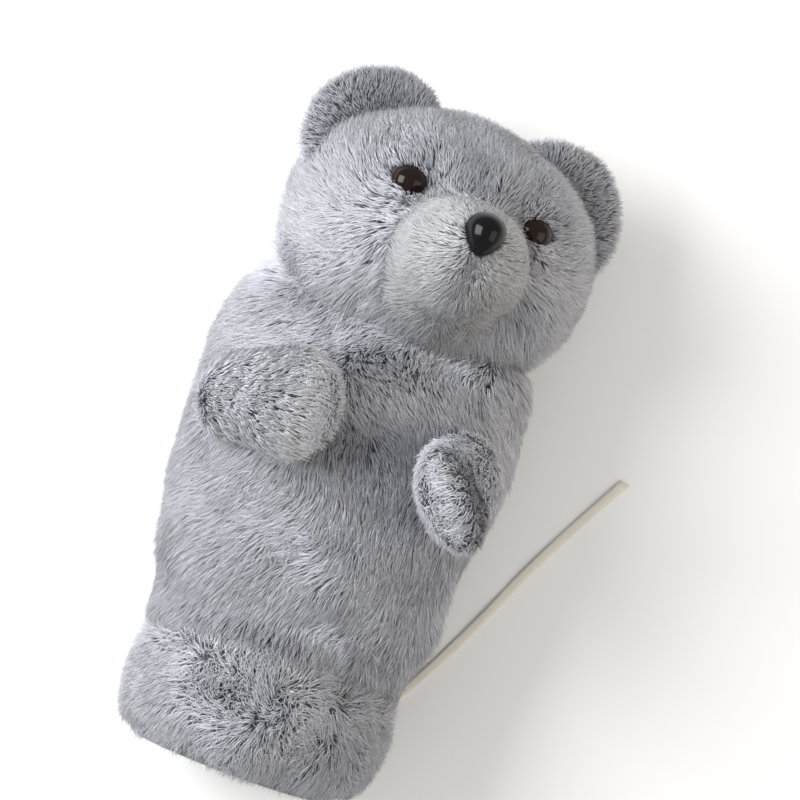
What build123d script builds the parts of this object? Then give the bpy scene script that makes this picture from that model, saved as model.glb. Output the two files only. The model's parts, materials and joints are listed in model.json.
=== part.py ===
"""A plush bear hand puppet lying on its back: a fur tube for the hand with a turned-up cuff, a stuffed
head on a soft neck, and two finger arms. X is the puppet's left, Y runs from the hem to the crown and
Z is the way the face looks. The origin is the middle of the arm opening, on its axis."""

from build123d import *
import math
import os

os.makedirs("parts", exist_ok=True)

# Driving dimensions, millimetres.
TABLE_Z = -46.0  # the surface that the back is pressed flat on
CLEARANCE = 0.4  # between bodies that move on each other
HANG = (Align.CENTER, Align.CENTER, Align.MAX)
BOTTOM_EDGE = (Align.CENTER, Align.MIN)

BORE_R = 40.0  # arm opening
FACING = 2.0  # thickness of the cloth that lines the cuff
CUFF_TOP_Y = 54.0
CUFF_PROFILE = ((0, 50, 45), (7, 57, 50), (27, 60, 52), (46, 57, 49.5), (CUFF_TOP_Y, 52.5, 47))
ELASTIC_Y = 9.0
ELASTIC_WIDTH = 6.0
ELASTIC_THICK = 1.2

# Each row is the height above the hem, then half the width and half the depth there.
TORSO_PROFILE = (
    (CUFF_TOP_Y, 53, 47.5),
    (76, 59, 50),
    (112, 62, 50.5),
    (148, 64, 50),
    (172, 62, 44),
    (184, 55, 34),
    (191, 46, 25),
    (195, 37, 18),
)
TORSO_WALL = 9.0
SIDE_SEAM_Z = -4.0
LINING_GAP = 0.5
LINING = 1.4

NECK_PIVOT = Vector(0, 208, 4)
NECK_R = 34.0
NECK_HOLE_R = 14.0

HEAD_TURN = 14.0  # degrees, towards the puppet's left
HEAD_CENTRE = Vector(5, 247, 4)
HEAD_HALF_WIDTH = 66.0
HEAD_HALF_DEPTH = 52.0  # the same up and down as front to back
HEAD_WALL = 8.0
HEAD_SEAM_Z = -8.0  # side seam, behind the middle of the head
GUSSET_HALF = 15.0
POCKET_R = 13.0
POCKET_END_Y = 276.0
POCKET_CLOTH = 1.0  # thickness of the finger pockets' cloth

MUZZLE_Y = -13.0  # its middle, below the middle of the head
MUZZLE_PROFILE = ((28, 31, 28), (54, 30, 27), (68, 26.5, 23.5), (78, 20, 17.5), (84, 12, 10))
MUZZLE_WALL = 7.0
CHIN_SEAM_Y = -29.0

NOSE_AT = (0, -3, 80.5)
NOSE_PITCH = 20.0
NOSE_ROUND = 5.4  # radius of the nose's three corners, whose middles follow
NOSE_SPREAD = 4.0
NOSE_RISE = 2.6
NOSE_DROP = 3.4
NOSE_DEPTH = 8.0
NOSE_EDGE = 4.6

EYE_AT = (30, 11, 41.5)
EYE_R = 7.5
EYE_DOME = 5.2
EYE_FLANGE = 1.0
STEM_R = 2.2
STEM_LENGTH = 12.0
WASHER_R = 7.0
WASHER_THICK = 1.5
WASHER_DEPTH = 8.0  # how far the washer sits behind the cloth

EAR_AT_ANGLE = 55.0  # from the crown
EAR_MIDDLE = 44.0  # from the middle of the head to the middle of the ear's disc
EAR_HALF_WIDTH = 27.0
EAR_HALF_HEIGHT = 30.0
EAR_LAYER = 7.0
EAR_ROUND = 5.0

ARM_ROOT_R = 17.0
ARM_PROFILE = ((0, 13, 11), (14, 15.5, 11.5), (27, 18.5, 13), (36, 15.5, 11), (41, 9, 6.5))
FINGER_R = 8.5
FINGER_DEPTH = 31.0
FINGER_HOLE = 26.0  # how far the hole reaches down from the arm's root, through the torso's front
FINGER_HOLE_IN = 0.88  # the hole's distance from the midline over the root's
ARM_SIDES = {
    "left": (Vector(52, 150, 44), Vector(-0.25, -0.34, 0.90)),
    "right": (Vector(-47, 149, 46), Vector(0.58, 0.22, 0.78)),
}

RIBBON_WIDTH = 4.2
RIBBON_THICK = 0.6
RIBBON_ROUTE = ((34, 18), (58, 52), (79, 94), (97, 137), (120, 179))


def across(y):
    """The plane across the body at a height above the hem, seen with the face up."""
    return Plane.XZ.offset(-y)


def wall(profile, thickness):
    """A profile moved inwards by a wall's thickness."""
    return [(y, half_x - thickness, half_z - thickness) for y, half_x, half_z in profile]


def save(piece, name):
    piece.label = name
    export_step(piece, f"parts/{name}.step")


# The torso: one fur tube with rounded shoulders, hollow for the hand and cut into a front and a back.
with BuildPart() as torso_shell:
    for y, half_x, half_z in TORSO_PROFILE:
        with BuildSketch(across(y)):
            Ellipse(half_x, half_z)
    loft()
    for y, half_x, half_z in wall(TORSO_PROFILE[:-1], TORSO_WALL):
        with BuildSketch(across(y)):
            Ellipse(half_x, half_z)
    loft(mode=Mode.SUBTRACT)
    with Locations(NECK_PIVOT):
        Sphere(NECK_R + CLEARANCE, rotation=(90, 0, 0), mode=Mode.SUBTRACT)
    for root, _ in ARM_SIDES.values():
        with Locations(root):
            Sphere(ARM_ROOT_R + CLEARANCE, mode=Mode.SUBTRACT)
        with Locations((root.X * FINGER_HOLE_IN, root.Y, root.Z)):
            Cylinder(FINGER_R, FINGER_HOLE, align=HANG, mode=Mode.SUBTRACT)
    split(bisect_by=Plane.XY.offset(TABLE_Z), keep=Keep.TOP)

SIDE_SEAM = Plane.XY.offset(SIDE_SEAM_Z)
with BuildPart() as belly_panel:
    add(torso_shell.part)
    split(bisect_by=SIDE_SEAM, keep=Keep.TOP)
save(belly_panel.part, "belly_panel")

with BuildPart() as back_panel:
    add(torso_shell.part)
    split(bisect_by=SIDE_SEAM, keep=Keep.BOTTOM)
save(back_panel.part, "back_panel")

# The lining glove: a thin tube inside the torso, open at the hem, the neck and the arms.
with BuildPart() as glove_lining:
    for y, half_x, half_z in wall(TORSO_PROFILE[:-1], TORSO_WALL + LINING_GAP):
        with BuildSketch(across(y)):
            Ellipse(half_x, half_z)
    loft()
    for y, half_x, half_z in wall(TORSO_PROFILE[:-1], TORSO_WALL + LINING_GAP + LINING):
        with BuildSketch(across(y)):
            Ellipse(half_x, half_z)
    loft(mode=Mode.SUBTRACT)
    for root, _ in ARM_SIDES.values():
        with Locations(root):
            Sphere(ARM_ROOT_R + CLEARANCE, mode=Mode.SUBTRACT)
        with Locations((root.X * FINGER_HOLE_IN, root.Y, root.Z)):
            Cylinder(FINGER_R, FINGER_HOLE, align=HANG, mode=Mode.SUBTRACT)
    with Locations(NECK_PIVOT):
        Sphere(NECK_R + CLEARANCE, rotation=(90, 0, 0), mode=Mode.SUBTRACT)
save(glove_lining.part, "glove_lining")

# The cuff: a fur band turned up at the hem, its cloth facing, and the elastic in its channel.
with BuildPart() as cuff_facing:
    with BuildSketch(across(0)):
        Circle(BORE_R + FACING)
        Circle(BORE_R, mode=Mode.SUBTRACT)
    extrude(amount=-CUFF_TOP_Y)
save(cuff_facing.part, "cuff_facing")

with BuildPart() as wrist_elastic:
    with BuildSketch(across(ELASTIC_Y)):
        Circle(BORE_R + FACING + ELASTIC_THICK)
        Circle(BORE_R + FACING, mode=Mode.SUBTRACT)
    extrude(amount=-ELASTIC_WIDTH)
save(wrist_elastic.part, "wrist_elastic")

with BuildPart() as cuff_band:
    for y, half_x, half_z in CUFF_PROFILE:
        with BuildSketch(across(y)):
            Ellipse(half_x, half_z)
    loft()
    with BuildSketch(across(0)):
        Circle(BORE_R + FACING)
    extrude(amount=-CUFF_TOP_Y, mode=Mode.SUBTRACT)
    add(wrist_elastic.part, mode=Mode.SUBTRACT)
    split(bisect_by=Plane.XY.offset(TABLE_Z), keep=Keep.TOP)
save(cuff_band.part, "cuff_band")

# The hanging ribbon: a flat strip sewn in under the cuff, which lies on the table beside the body.
ribbon_points = [Vector(x, y, TABLE_Z + RIBBON_THICK / 2) for x, y in RIBBON_ROUTE]
runs = [b - a for a, b in zip(ribbon_points, ribbon_points[1:])]
bends = [
    0.45 * min(before.length, after.length) / math.tan(math.radians(before.get_angle(after)) / 2)
    for before, after in zip(runs, runs[1:])
]
print("ribbon bend radii", [round(r) for r in bends])
with BuildPart() as ribbon_strap:
    with BuildLine() as ribbon_line:
        FilletPolyline(ribbon_points, radius=bends)
    with BuildSketch(Plane(origin=ribbon_points[0], x_dir=runs[0].cross(Vector(0, 0, 1)), z_dir=runs[0])):
        Rectangle(RIBBON_WIDTH, RIBBON_THICK)
    sweep()
ribbon_length = sum(edge.length for edge in ribbon_line.line.edges())
print("ribbon length", ribbon_length, "volume", ribbon_strap.part.volume)
print("ribbon section times length", RIBBON_WIDTH * RIBBON_THICK * ribbon_length)
save(ribbon_strap.part, "ribbon_strap")

# The neck: a soft ring that the head turns and nods on, open through its middle for the finger.
with BuildPart() as neck_sleeve:
    with Locations(NECK_PIVOT):
        Sphere(NECK_R)
        with Locations(Rotation(90, 0, 0)):
            Cylinder(NECK_HOLE_R, 2 * NECK_R, mode=Mode.SUBTRACT)
save(neck_sleeve.part, "neck_sleeve")

# The head's own frame: its middle, turned towards the puppet's left.
turn = math.radians(HEAD_TURN)
HEAD = Plane(
    origin=HEAD_CENTRE,
    x_dir=(math.cos(turn), 0, -math.sin(turn)),
    z_dir=(math.sin(turn), 0, math.cos(turn)),
)


def in_head(x, y, z):
    """A place in the head's own frame, in the frame of the whole puppet."""
    return HEAD.from_local_coords(Vector(x, y, z))


def head_plane(at, facing):
    """A plane that stands at a place in the head and faces along a direction, both in the head's frame."""
    origin = in_head(*at)
    return Plane(origin=origin, x_dir=HEAD.x_dir, z_dir=in_head(*facing) - HEAD_CENTRE)


def head_round(inset):
    """The head's rounded form, drawn in by a wall's thickness."""
    with BuildPart() as form:
        with BuildSketch(HEAD):
            half_width = HEAD_HALF_WIDTH - inset
            half_depth = HEAD_HALF_DEPTH - inset
            Ellipse(half_width, half_depth)
            Rectangle(2 * half_width, half_depth, align=BOTTOM_EDGE, mode=Mode.INTERSECT)
        revolve(axis=Axis(HEAD_CENTRE, HEAD.x_dir))
    return form.part


# Safety eyes and nose: a glossy front, a stem through the cloth and a washer pressed on behind it.
def button(plane, outline):
    """A button's front, turned about the plane's normal from its outline, on its stem."""
    with BuildPart() as front:
        with BuildSketch(Plane(origin=plane.origin, x_dir=plane.x_dir, z_dir=-plane.y_dir)):
            with BuildLine():
                Polyline((0, EYE_DOME), (0, -STEM_LENGTH), (STEM_R, -STEM_LENGTH), (STEM_R, -EYE_FLANGE),
                         (outline, -EYE_FLANGE), (outline, 0))
                TangentArc((0, EYE_DOME), (outline, 0), tangent=(1, 0))
            make_face()
        revolve(axis=Axis(plane.origin, plane.z_dir))
    return front.part


def washer(plane):
    """The washer behind the cloth, with the stem's hole through it."""
    with BuildPart() as disc:
        with BuildSketch(plane.offset(-WASHER_DEPTH)):
            Circle(WASHER_R)
            Circle(STEM_R, mode=Mode.SUBTRACT)
        extrude(amount=-WASHER_THICK)
    return disc.part


eye_planes = {
    side: head_plane(
        (sign * EYE_AT[0], EYE_AT[1], EYE_AT[2]),
        (sign * EYE_AT[0] / HEAD_HALF_WIDTH**2, EYE_AT[1] / HEAD_HALF_DEPTH**2, EYE_AT[2] / HEAD_HALF_DEPTH**2),
    )
    for side, sign in (("left", 1), ("right", -1))
}
hardware = []
for side, plane in eye_planes.items():
    eye = button(plane, EYE_R)
    save(eye, f"eye_{side}")
    eye_washer = washer(plane)
    save(eye_washer, f"eye_washer_{side}")
    hardware += [eye, eye_washer]

nose_pitch = math.radians(NOSE_PITCH)
nose_plane = head_plane(NOSE_AT, (0, math.sin(nose_pitch), math.cos(nose_pitch)))
with BuildPart() as nose:
    with BuildSketch(nose_plane):
        for x, y in ((-NOSE_SPREAD, NOSE_RISE), (NOSE_SPREAD, NOSE_RISE), (0, -NOSE_DROP)):
            with Locations((x, y)):
                Circle(NOSE_ROUND)
        make_hull()
    extrude(amount=NOSE_DEPTH)
    fillet(faces().sort_by(Axis(nose_plane.origin, nose_plane.z_dir))[-1].edges(), radius=NOSE_EDGE)
    with BuildSketch(nose_plane):
        Circle(STEM_R)
    extrude(amount=-STEM_LENGTH)
save(nose.part, "nose")
nose_washer = washer(nose_plane)
save(nose_washer, "nose_washer")
hardware += [nose.part, nose_washer]

# The finger pocket in the head, a closed cloth tube in line with the neck.
with BuildPart() as head_finger_pocket:
    for inset, mode in ((0, Mode.ADD), (POCKET_CLOTH, Mode.SUBTRACT)):
        with BuildSketch(Plane(origin=(NECK_PIVOT.X, NECK_PIVOT.Y, NECK_PIVOT.Z), z_dir=(0, 1, 0))):
            Circle(POCKET_R - inset)
        extrude(amount=POCKET_END_Y - inset - NECK_PIVOT.Y, mode=mode)
    with Locations(NECK_PIVOT):
        Sphere(NECK_R + CLEARANCE, rotation=(90, 0, 0), mode=Mode.SUBTRACT)
save(head_finger_pocket.part, "head_finger_pocket")

# The head's stuffing is two wads, which meet at the side seam and fill the form around the pocket.
SEAM = HEAD.offset(HEAD_SEAM_Z)
with BuildPart() as head_stuffing:
    add(head_round(HEAD_WALL))
    with Locations(NECK_PIVOT):
        Sphere(NECK_R + CLEARANCE, rotation=(90, 0, 0), mode=Mode.SUBTRACT)
    with BuildSketch(Plane(origin=(NECK_PIVOT.X, NECK_PIVOT.Y, NECK_PIVOT.Z), z_dir=(0, 1, 0))):
        Circle(POCKET_R)
    extrude(amount=POCKET_END_Y - NECK_PIVOT.Y, mode=Mode.SUBTRACT)
    for piece in hardware:
        add(piece, mode=Mode.SUBTRACT)
    split(bisect_by=SEAM, keep=Keep.BOTH)
save(head_stuffing.part, "head_stuffing")

# The head's fur: a back, two cheeks, a gusset over the crown and a chin, cut from one shell.
with BuildPart() as head_shell:
    add(head_round(0))
    add(head_round(HEAD_WALL), mode=Mode.SUBTRACT)
    with Locations(NECK_PIVOT):
        Sphere(NECK_R + CLEARANCE, rotation=(90, 0, 0), mode=Mode.SUBTRACT)
    for side, plane in eye_planes.items():
        with BuildSketch(plane.offset(-EYE_FLANGE)):
            Circle(EYE_R)
        extrude(amount=WASHER_DEPTH, mode=Mode.SUBTRACT)
    for piece in hardware:
        add(piece, mode=Mode.SUBTRACT)
    split(bisect_by=Plane.XY.offset(TABLE_Z), keep=Keep.TOP)

LEFT_SEAM = Plane(origin=in_head(GUSSET_HALF, 0, 0), z_dir=HEAD.x_dir)
RIGHT_SEAM = Plane(origin=in_head(-GUSSET_HALF, 0, 0), z_dir=-HEAD.x_dir)
CHIN_SEAM = Plane(origin=in_head(0, MUZZLE_Y, 0), z_dir=(0, 1, 0))
HEAD_PANELS = {
    "head_back_panel": ((SEAM, Keep.BOTTOM),),
    "cheek_left": ((SEAM, Keep.TOP), (LEFT_SEAM, Keep.TOP)),
    "cheek_right": ((SEAM, Keep.TOP), (RIGHT_SEAM, Keep.TOP)),
    "forehead_gusset": (
        (SEAM, Keep.TOP), (LEFT_SEAM, Keep.BOTTOM), (RIGHT_SEAM, Keep.BOTTOM), (CHIN_SEAM, Keep.TOP),
    ),
    "throat_gusset": (
        (SEAM, Keep.TOP), (LEFT_SEAM, Keep.BOTTOM), (RIGHT_SEAM, Keep.BOTTOM), (CHIN_SEAM, Keep.BOTTOM),
    ),
}
for name, cuts in HEAD_PANELS.items():
    with BuildPart() as panel:
        add(head_shell.part)
        for plane, keep in cuts:
            split(bisect_by=plane, keep=keep)
    save(panel.part, name)

# The muzzle: two sides and a chin over their stuffing, sewn on the front of the head.
def muzzle_form(inset):
    """The muzzle's rounded form, drawn in by a wall's thickness, down to the head's surface."""
    with BuildPart() as form:
        for z, half_x, half_y in MUZZLE_PROFILE:
            with BuildSketch(HEAD.offset(z - (inset if z > MUZZLE_PROFILE[0][0] else 0))):
                with Locations((0, MUZZLE_Y)):
                    Ellipse(half_x - inset, half_y - inset)
        loft()
    return form.part


with BuildPart() as muzzle_stuffing:
    add(muzzle_form(MUZZLE_WALL))
    add(head_round(0), mode=Mode.SUBTRACT)
    for piece in hardware:
        add(piece, mode=Mode.SUBTRACT)
save(muzzle_stuffing.part, "muzzle_stuffing")

with BuildPart() as muzzle_shell:
    add(muzzle_form(0))
    add(muzzle_form(MUZZLE_WALL), mode=Mode.SUBTRACT)
    add(head_round(0), mode=Mode.SUBTRACT)
    with Locations(NECK_PIVOT):
        Sphere(NECK_R + CLEARANCE, rotation=(90, 0, 0), mode=Mode.SUBTRACT)
    for piece in hardware:
        add(piece, mode=Mode.SUBTRACT)

MIDLINE = Plane(origin=HEAD_CENTRE, z_dir=HEAD.x_dir)
LIP_SEAM = Plane(origin=in_head(0, CHIN_SEAM_Y, 0), z_dir=(0, 1, 0))
MUZZLE_PANELS = {
    "muzzle_left": ((LIP_SEAM, Keep.TOP), (MIDLINE, Keep.TOP)),
    "muzzle_right": ((LIP_SEAM, Keep.TOP), (MIDLINE, Keep.BOTTOM)),
    "chin_panel": ((LIP_SEAM, Keep.BOTTOM),),
}
for name, cuts in MUZZLE_PANELS.items():
    with BuildPart() as panel:
        add(muzzle_shell.part)
        for plane, keep in cuts:
            split(bisect_by=plane, keep=keep)
    save(panel.part, name)

# The ears: a disc of two layers on each shoulder of the head, short pile in front and long behind.
for side, sign in (("left", 1), ("right", -1)):
    lean = math.radians(EAR_AT_ANGLE)
    outwards = in_head(sign * math.sin(lean), math.cos(lean), 0) - HEAD_CENTRE
    ear_plane = Plane(
        origin=HEAD_CENTRE + outwards * EAR_MIDDLE, x_dir=outwards.cross(HEAD.z_dir), z_dir=HEAD.z_dir
    )
    for layer, direction in (("front", 1), ("back", -1)):
        with BuildPart() as ear:
            with BuildSketch(ear_plane):
                Ellipse(EAR_HALF_WIDTH, EAR_HALF_HEIGHT)
            extrude(amount=direction * EAR_LAYER)
            rim = faces().sort_by(Axis(ear_plane.origin, ear_plane.z_dir * direction))[-1].edges()
            fillet(rim, radius=EAR_ROUND)
            add(head_round(0), mode=Mode.SUBTRACT)
        save(ear.part, f"ear_{layer}_{side}")

# The arms: a ball in the torso's socket that runs into a flat paw, with a pocket for a finger.
for side, (root, reach) in ARM_SIDES.items():
    reach = reach.normalized()
    width = (Vector(0, 1, 0) - reach * reach.Y).normalized()
    arm_plane = Plane(origin=root, x_dir=width, z_dir=reach)
    with BuildPart() as arm_form:
        for along, half_width, half_thick in ARM_PROFILE:
            with BuildSketch(arm_plane.offset(along)):
                Ellipse(half_width, half_thick)
        loft()
        with Locations(root):
            Sphere(ARM_ROOT_R)
            Cylinder(FINGER_R, ARM_ROOT_R, align=HANG, mode=Mode.SUBTRACT)
        with BuildSketch(arm_plane):
            Circle(FINGER_R)
        extrude(amount=FINGER_DEPTH, mode=Mode.SUBTRACT)
    sole = Plane(origin=root, z_dir=arm_plane.y_dir)
    for layer, keep in (("outer", Keep.TOP), ("palm", Keep.BOTTOM)):
        with BuildPart() as half:
            add(arm_form.part)
            split(bisect_by=sole, keep=keep)
        save(half.part, f"arm_{side}_{layer}")
    with BuildPart() as pocket:
        with BuildSketch(arm_plane):
            Circle(FINGER_R)
        extrude(amount=FINGER_DEPTH)
        with BuildSketch(arm_plane):
            Circle(FINGER_R - POCKET_CLOTH)
        extrude(amount=FINGER_DEPTH - POCKET_CLOTH, mode=Mode.SUBTRACT)
        with Locations(root):
            Cylinder(FINGER_R, ARM_ROOT_R, align=HANG, mode=Mode.SUBTRACT)
    save(pocket.part, f"arm_{side}_pocket")
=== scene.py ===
"""A plush bear hand puppet that lies on its back: fur skins with their pile, safety eyes and nose,
the lining of the arm opening and a hanging ribbon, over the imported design."""

import json
import math

import bpy
import numpy as np
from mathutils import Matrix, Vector


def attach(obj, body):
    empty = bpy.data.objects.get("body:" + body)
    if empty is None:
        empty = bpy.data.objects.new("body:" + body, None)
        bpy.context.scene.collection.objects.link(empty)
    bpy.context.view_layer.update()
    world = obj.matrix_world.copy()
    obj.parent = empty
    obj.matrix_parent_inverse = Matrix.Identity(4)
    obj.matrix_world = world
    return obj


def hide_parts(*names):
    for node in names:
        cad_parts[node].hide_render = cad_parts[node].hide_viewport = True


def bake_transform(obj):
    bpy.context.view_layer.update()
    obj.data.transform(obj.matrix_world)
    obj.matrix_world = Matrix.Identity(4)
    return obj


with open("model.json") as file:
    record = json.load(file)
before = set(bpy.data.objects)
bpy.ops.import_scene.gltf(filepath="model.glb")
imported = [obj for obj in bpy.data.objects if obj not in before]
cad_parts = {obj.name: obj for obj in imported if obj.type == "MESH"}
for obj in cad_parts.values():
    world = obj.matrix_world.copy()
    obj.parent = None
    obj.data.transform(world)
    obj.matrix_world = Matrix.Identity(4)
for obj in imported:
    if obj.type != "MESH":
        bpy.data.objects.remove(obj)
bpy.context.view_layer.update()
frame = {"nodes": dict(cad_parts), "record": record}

MM = 0.001  # the shapes below are worked out in millimetres

# Places that the design fixes, in the frame of the whole puppet.
MOUNTS = {mount["name"]: mount for mount in frame["record"]["mounts"]}
TABLE = MOUNTS["back_rest"]["pos_m"][2] / MM  # the height of the plane that the puppet lies on
NECK = np.array([0.0, 208.0, 4.0])
NECK_R = 34.0
HEAD = np.array([5.0, 247.0, 4.0])
HEAD_TURN = math.radians(14)  # towards the puppet's left
HEAD_AXES = np.array([
    [math.cos(HEAD_TURN), 0.0, -math.sin(HEAD_TURN)],
    [0.0, 1.0, 0.0],
    [math.sin(HEAD_TURN), 0.0, math.cos(HEAD_TURN)],
])
# Each arm's root in the chest, and the way that the arm reaches.
ARMS = {
    "left": (np.array([52.0, 150.0, 44.0]), np.array([-0.25, -0.34, 0.90])),
    "right": (np.array([-47.0, 149.0, 46.0]), np.array([0.58, 0.22, 0.78])),
}
# Places on the head, in the head's own frame.
EYE_AT = np.array([30.0, 11.0, 41.5])
NOSE_AT = np.array([0.0, -3.0, 80.5])
NOSE_PITCH = math.radians(20)
MUZZLE_Y = -13.0  # how far the muzzle's axis lies below the head's middle


# ---------------------------------------------------------------- numbers and noise

def ease(low, high, x):
    """Nought below low, one above high, and a smooth step between them."""
    t = np.clip((x - low) / (high - low), 0, 1)
    return t * t * (3 - 2 * t)


def bump(x, middle, spread):
    """A bell of height one about a middle."""
    return np.exp(-(((x - middle) / spread) ** 2))


def unit(v):
    """Vectors brought to length one."""
    return v / np.maximum(np.linalg.norm(v, axis=-1, keepdims=True), 1e-9)


def curve(at, knots):
    """Values along a smooth line through knots, each a place and its values: cubic pieces whose slope
    at a knot is that of its neighbours."""
    knots = np.asarray(knots, float)
    x, y = knots[:, 0], knots[:, 1:]
    slope = np.gradient(y, x, axis=0)
    at = np.clip(at, x[0], x[-1])
    i = np.clip(np.searchsorted(x, at, side="right") - 1, 0, len(x) - 2)
    span = (x[i + 1] - x[i])[..., None]
    t = (at - x[i])[..., None] / span
    rise = y[i + 1] - y[i]
    a, b = slope[i] * span, slope[i + 1] * span
    return y[i] + t * (a + t * (3 * rise - 2 * a - b + t * (a + b - 2 * rise)))


LATTICE_SIZE = 32
LATTICE = np.random.default_rng(11).uniform(-1, 1, (LATTICE_SIZE, LATTICE_SIZE, LATTICE_SIZE, 3))


def noise(points, size, shift=0.0):
    """Smooth random vectors, one for each point: those of a lattice's corners, eased between them."""
    p = points / size + shift
    cell = np.floor(p).astype(int)
    part = p - cell
    part = part * part * (3 - 2 * part)
    total = np.zeros(points.shape)
    for corner in np.ndindex(2, 2, 2):
        weight = np.prod(np.where(corner, part, 1 - part), axis=-1)
        at = (cell + corner) % LATTICE_SIZE
        total += weight[..., None] * LATTICE[at[..., 0], at[..., 1], at[..., 2]]
    return total


def from_head(points):
    """Points of the head's own frame, in the puppet's: turned with the head, then moved to its middle."""
    return points @ HEAD_AXES + HEAD


def to_head(points):
    """Points of the puppet's frame, in the head's own: measured from its middle, then turned back."""
    return (points - HEAD) @ HEAD_AXES.T


# ---------------------------------------------------------------- camera, light and floor

VIEW_CENTRE = np.array([13.4, 174.6, 0.0])
VIEW_ROLL = math.radians(20.6)  # the puppet leans to the left in the frame
VIEW_TILT = math.radians(5)  # off straight down, towards the hem
VIEW_FAR = 1150.0
VIEW_WIDTH = 347.2  # of the plane through the middle of the puppet
SENSOR = 36.0
FLOOR_HALF = 6.0  # metres
FLOOR_GAP = 0.0004  # metres below the plane of the back, so that the two don't meet
FRAME_RIGHT = np.array([math.cos(VIEW_ROLL), math.sin(VIEW_ROLL), 0.0])
FRAME_UP = np.array([-math.sin(VIEW_ROLL), math.cos(VIEW_ROLL), 0.0])


def make_camera():
    """Looks down on the puppet's middle, rolled with the frame and a little from the hem's side."""
    data = bpy.data.cameras.new("camera")
    data.sensor_width = SENSOR
    data.lens = data.sensor_width * VIEW_FAR / VIEW_WIDTH
    camera = bpy.data.objects.new("camera", data)
    back = np.array([0, 0, math.cos(VIEW_TILT)]) - FRAME_UP * math.sin(VIEW_TILT)
    camera.location = (VIEW_CENTRE + VIEW_FAR * back) * MM
    camera.rotation_euler = (VIEW_TILT, 0, VIEW_ROLL)
    bpy.context.collection.objects.link(camera)
    bpy.context.scene.camera = camera


def soft_box(name, right, up, height, size, power, colour):
    """A square light that faces the puppet, placed by metres to the frame's right, up it, and above."""
    data = bpy.data.lights.new(name, "AREA")
    data.energy = power
    data.size = size
    data.color = colour
    light = bpy.data.objects.new(name, data)
    away = FRAME_RIGHT * right + FRAME_UP * up + np.array([0, 0, height])
    light.location = VIEW_CENTRE * MM + away
    light.rotation_euler = Vector(-away).to_track_quat("-Z", "Y").to_euler()
    bpy.context.collection.objects.link(light)


def make_studio():
    """A white floor without an edge in view, an even white surround and a key from the upper left."""
    scene = bpy.context.scene
    scene.view_settings.view_transform = "Standard"
    world = bpy.data.worlds.new("surround")
    world.use_nodes = True
    surround = world.node_tree.nodes["Background"]
    surround.inputs["Color"].default_value = (0.97, 0.98, 1.0, 1)
    surround.inputs["Strength"].default_value = 0.60
    scene.world = world
    soft_box("key", -1.15, 0.5, 0.95, 1.0, 30, (0.97, 0.985, 1.0))
    soft_box("fill", 1.1, -0.4, 0.9, 1.2, 8, (1.0, 0.90, 0.74))

    floor_mesh = bpy.data.meshes.new("floor")
    corners = [(x * FLOOR_HALF, y * FLOOR_HALF) for x, y in ((-1, -1), (1, -1), (1, 1), (-1, 1))]
    floor_mesh.from_pydata([(x, y, TABLE * MM - FLOOR_GAP) for x, y in corners], [], [(0, 1, 2, 3)])
    floor = bpy.data.objects.new("floor", floor_mesh)
    bpy.context.collection.objects.link(floor)
    paint = Finish("floor_paint", roughness=0.9)
    grain = paint.node("ShaderNodeTexNoise", {"Vector": paint.place(), "Scale": 3.0}).out("Fac")
    paint.set("Base Color", paint.mix(grain, (0.86, 0.86, 0.86), (0.9, 0.9, 0.9)))
    floor.data.materials.append(paint.material)


# ---------------------------------------------------------------- materials

class Value:
    """A node's socket that arithmetic works on: each operation adds its Math node."""

    def __init__(self, finish, socket):
        self.finish = finish
        self.socket = socket

    def maths(self, operation, first, second):
        """One operation on two values or numbers."""
        return self.finish.node("ShaderNodeMath", {0: first, 1: second}, operation=operation).out(0)

    def __add__(self, other):
        return self.maths("ADD", self, other)

    def __mul__(self, other):
        return self.maths("MULTIPLY", self, other)

    def __sub__(self, other):
        return self.maths("SUBTRACT", self, other)

    def __rsub__(self, other):
        return self.maths("SUBTRACT", other, self)

    def __pow__(self, other):
        return self.maths("POWER", self, other)

    __radd__ = __add__
    __rmul__ = __mul__


class Node:
    """A node in a finish, whose outputs come out as values."""

    def __init__(self, finish, node):
        self.finish = finish
        self.node = node

    def out(self, name):
        return Value(self.finish, self.node.outputs[name])


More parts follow.
